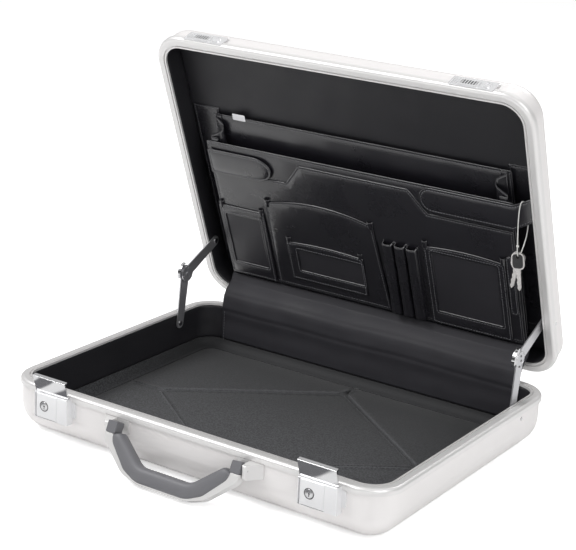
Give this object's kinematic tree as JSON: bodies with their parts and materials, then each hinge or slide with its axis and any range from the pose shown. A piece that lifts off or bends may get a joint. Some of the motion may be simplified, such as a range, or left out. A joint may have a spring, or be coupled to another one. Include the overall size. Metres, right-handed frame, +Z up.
{
  "type": "briefcase",
  "caption": "Rigid metal attache case lying open, with a hinged lid on folding stays, sprung latches, a drop handle and a lid organizer with pockets.",
  "frame": {"origin": "middle of the flat underside of the base, on the surface it rests on", "axes": "+X to the case's right seen from the front, along its longest side; +Y back towards the hinges; +Z up"},
  "size_m": [0.458, 0.4178, 0.394],
  "materials": {
    "chrome": "bright plated fittings",
    "cord": "thin braided cord",
    "film": "clear vinyl over black",
    "floor_cloth": "dark grey woven lining",
    "leatherette": "grained black leatherette",
    "paper": "blank white card",
    "plastic": "black moulded plastic",
    "rim": "anodised extrusion with a satin silver finish",
    "rubber": "dark grey moulded grip",
    "shell": "satin off-white silver finish",
    "stay": "dark finished steel strip",
    "steel": "plain steel pins and rivets"
  },
  "bodies": {
    "base": {"base_shell": "shell", "base_frame": "rim", "base_wall_lining": "leatherette", "base_floor_pad": "floor_cloth", "hinge_gusset": "leatherette", "hasp_pins": "steel", "handle_pins": "steel", "handle_backing_plate": "steel", "hinge_base_leaves": "rim", "hinge_pins": "steel", "base_rivets": "steel", "stay_base_rivets": "chrome", "latch_housing_left": "chrome", "latch_housing_right": "chrome", "handle_mount_left": "rim", "handle_mount_right": "rim"},
    "lid": {"lid_shell": "shell", "lid_frame": "rim", "lid_wall_lining": "leatherette", "lid_panel_lining": "leatherette", "lid_keepers": "chrome", "hinge_lid_leaves": "rim", "lid_rivets": "steel", "stay_lid_rivets": "chrome", "file_pocket_panel": "leatherette", "file_gussets": "leatherette", "organizer_panel": "leatherette", "mid_pocket": "leatherette", "tongue_flap": "leatherette", "strap_flap": "leatherette", "window_pocket_left": "leatherette", "window_pocket_right": "leatherette", "small_window_pocket": "leatherette", "window_films": "film", "centre_pocket": "leatherette", "pen_loops": "leatherette", "rear_pocket_tab": "leatherette", "pocket_snap": "chrome", "paper_tag": "paper", "key_cord": "cord", "key_bows": "plastic", "key_blades": "chrome"},
    "handle": {"handle_frame": "rim", "handle_grip": "rubber", "handle_end_caps": "plastic"},
    "hasp_left": {"latch_hasp_left": "chrome"},
    "slide_left": {"latch_slide_left": "chrome"},
    "cylinder_left": {"lock_cylinder_left": "chrome"},
    "stay_lower_left": {"stay_lower_left": "stay", "stay_elbow_left": "stay", "stay_tab_left": "chrome"},
    "stay_upper_left": {"stay_upper_left": "stay"},
    "hasp_right": {"latch_hasp_right": "chrome"},
    "slide_right": {"latch_slide_right": "chrome"},
    "cylinder_right": {"lock_cylinder_right": "chrome"},
    "stay_lower_right": {"stay_lower_right": "stay", "stay_elbow_right": "stay", "stay_tab_right": "chrome"},
    "stay_upper_right": {"stay_upper_right": "stay"}
  },
  "joints": [
    {"name": "lid_hinge", "type": "hinge", "parent": "base", "child": "lid", "pos_m": [0, 0.18325, 0.0538], "axis": [1, 0, 0], "range_deg": [0, 68.2], "deforming": ["hinge_gusset"]},
    {"name": "handle_swing", "type": "hinge", "parent": "base", "child": "handle", "pos_m": [0, -0.18385, 0.0445], "axis": [-1, 0, 0], "range_deg": [-25, 150]},
    {"name": "hasp_hinge_left", "type": "hinge", "parent": "base", "child": "hasp_left", "pos_m": [-0.1615, -0.17675, 0.0535], "axis": [-1, 0, 0], "range_deg": [0, 17.7], "stiffness_Nm_per_rad": 0.01, "springref_deg": -17.19},
    {"name": "latch_slide_left", "type": "slide", "parent": "base", "child": "slide_left", "axis": [-1, 0, 0], "range_m": [0, 0.0015], "stiffness_N_per_m": 400, "springref_m": -0.002},
    {"name": "lock_turn_left", "type": "hinge", "parent": "slide_left", "child": "cylinder_left", "pos_m": [-0.17, -0.18185, 0.0405], "axis": [0, -1, 0], "range_deg": [0, 90]},
    {"name": "stay_base_pivot_left", "type": "hinge", "parent": "base", "child": "stay_lower_left", "pos_m": [-0.2156, 0.10465, 0.0443], "axis": [1, 0, 0], "range_deg": [0, 88.5]},
    {"name": "stay_lid_pivot_left", "type": "hinge", "parent": "lid", "child": "stay_upper_left", "pos_m": [-0.2139, 0.16648, 0.13153], "axis": [1, 0, 0], "range_deg": [-86, 0]},
    {"name": "hasp_hinge_right", "type": "hinge", "parent": "base", "child": "hasp_right", "pos_m": [0.1615, -0.17675, 0.0535], "axis": [-1, 0, 0], "range_deg": [0, 17.7], "stiffness_Nm_per_rad": 0.01, "springref_deg": -17.19},
    {"name": "latch_slide_right", "type": "slide", "parent": "base", "child": "slide_right", "axis": [-1, 0, 0], "range_m": [0, 0.0015], "stiffness_N_per_m": 400, "springref_m": -0.002},
    {"name": "lock_turn_right", "type": "hinge", "parent": "slide_right", "child": "cylinder_right", "pos_m": [0.153, -0.18185, 0.0405], "axis": [0, -1, 0], "range_deg": [0, 90]},
    {"name": "stay_base_pivot_right", "type": "hinge", "parent": "base", "child": "stay_lower_right", "pos_m": [0.2156, 0.10465, 0.0443], "axis": [1, 0, 0], "range_deg": [0, 88.5]},
    {"name": "stay_lid_pivot_right", "type": "hinge", "parent": "lid", "child": "stay_upper_right", "pos_m": [0.2139, 0.16648, 0.13153], "axis": [1, 0, 0], "range_deg": [-86, 0]}
  ],
  "couplings": [
    {"joint": "stay_base_pivot_left", "follows": "lid_hinge", "ratio": 1.29},
    {"joint": "stay_lid_pivot_left", "follows": "lid_hinge", "ratio": -1.25},
    {"joint": "stay_base_pivot_right", "follows": "lid_hinge", "ratio": 1.29},
    {"joint": "stay_lid_pivot_right", "follows": "lid_hinge", "ratio": -1.25}
  ]
}
